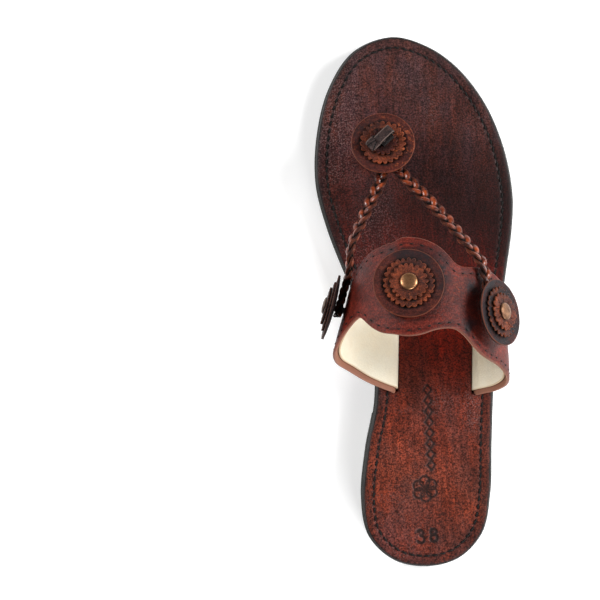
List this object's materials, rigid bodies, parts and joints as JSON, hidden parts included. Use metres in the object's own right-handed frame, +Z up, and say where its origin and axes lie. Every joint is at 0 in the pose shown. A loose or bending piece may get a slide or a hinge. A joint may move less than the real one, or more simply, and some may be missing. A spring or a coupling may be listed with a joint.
{
  "type": "flip flop",
  "caption": "Right-foot leather flip flop: a lined vamp arched over the instep, two braids to a toe post, rosettes of stacked leather discs that turn, and a flat sole on a low rubber heel.",
  "frame": {"origin": "on the ground under the middle of the sandal's bounding box", "axes": "+X to the outer side of the foot, +Y to the toes, +Z up"},
  "size_m": [0.097, 0.2534, 0.0771],
  "materials": {
    "footbed_leather": "burnished",
    "board": "dyed edge",
    "sole_rubber": "ribbed matt",
    "vamp_leather": "glossy",
    "lining_leather": "smooth undyed",
    "disc_leather": "satin",
    "tan_leather": "satin",
    "braid_leather": "glossy",
    "lace_leather": "satin",
    "thread": "waxed",
    "brass": "worn"
  },
  "bodies": {
    "sandal": {"insole": "footbed_leather", "midsole": "board", "outsole": "sole_rubber", "heel_lift": "sole_rubber", "insole_stitching": "thread", "vamp": "vamp_leather", "vamp_lining": "lining_leather", "vamp_front_stitching": "thread", "vamp_rear_stitching": "thread", "centre_rivet_cap": "brass", "centre_rivet_burr": "brass", "inner_rivet_cap": "brass", "inner_rivet_burr": "brass", "outer_rivet_cap": "brass", "outer_rivet_burr": "brass", "toe_post": "lace_leather", "toe_knot": "lace_leather", "inner_braid": "braid_leather", "outer_braid": "braid_leather"},
    "centre_rosette": {"centre_base_disc": "disc_leather", "centre_pinked_disc": "tan_leather", "centre_small_disc": "tan_leather"},
    "inner_rosette": {"inner_base_disc": "disc_leather", "inner_pinked_disc": "tan_leather", "inner_small_disc": "tan_leather"},
    "outer_rosette": {"outer_base_disc": "disc_leather", "outer_pinked_disc": "tan_leather", "outer_small_disc": "tan_leather"},
    "toe_rosette": {"toe_base_disc": "disc_leather", "toe_pinked_disc": "tan_leather", "toe_small_disc": "tan_leather"}
  },
  "joints": [
    {"name": "centre_rosette_turn", "type": "hinge", "parent": "sandal", "child": "centre_rosette", "pos_m": [-0.00806, 0.00774, 0.07017], "axis": [-0.0082, 0.2907, 0.9568], "continuous": true},
    {"name": "inner_rosette_turn", "type": "hinge", "parent": "sandal", "child": "inner_rosette", "pos_m": [-0.03738, -0.00187, 0.04378], "axis": [-0.94, 0.3407, 0.016], "continuous": true},
    {"name": "outer_rosette_turn", "type": "hinge", "parent": "sandal", "child": "outer_rosette", "pos_m": [0.02777, -0.00877, 0.05707], "axis": [0.7849, 0.1176, 0.6084], "continuous": true},
    {"name": "toe_rosette_turn", "type": "hinge", "parent": "sandal", "child": "toe_rosette", "pos_m": [-0.01302, 0.06702, 0.0096], "axis": [0, 0.2756, 0.9613], "continuous": true}
  ]
}
